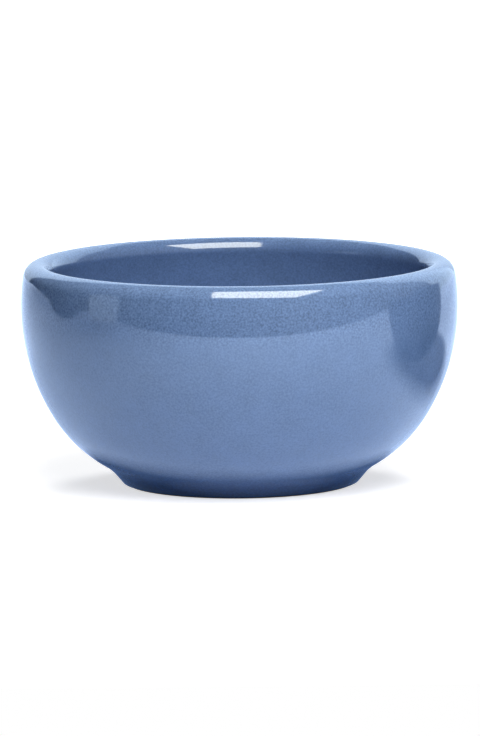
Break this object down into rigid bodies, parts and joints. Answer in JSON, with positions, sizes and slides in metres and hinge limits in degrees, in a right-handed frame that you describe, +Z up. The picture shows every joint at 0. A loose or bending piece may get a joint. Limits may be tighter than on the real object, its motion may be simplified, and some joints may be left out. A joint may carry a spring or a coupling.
{
  "type": "nut bowl",
  "caption": "Small round glazed stoneware bowl with a thick rolled lip and a low flared foot ring, for serving nuts or snacks.",
  "frame": {"origin": "on the table, at the centre of the foot ring's standing face", "axes": "+Z up along the bowl's axis; +X and +Y are any two directions across it, because the bowl is round"},
  "size_m": [0.102, 0.102, 0.052],
  "materials": {
    "stoneware": "matte",
    "blue_glaze": "gloss",
    "base_blue_glaze": "gloss"
  },
  "bodies": {
    "root": {"clay_body": "stoneware", "glaze_coat": "blue_glaze", "base_glaze": "base_blue_glaze"}
  },
  "joints": []
}
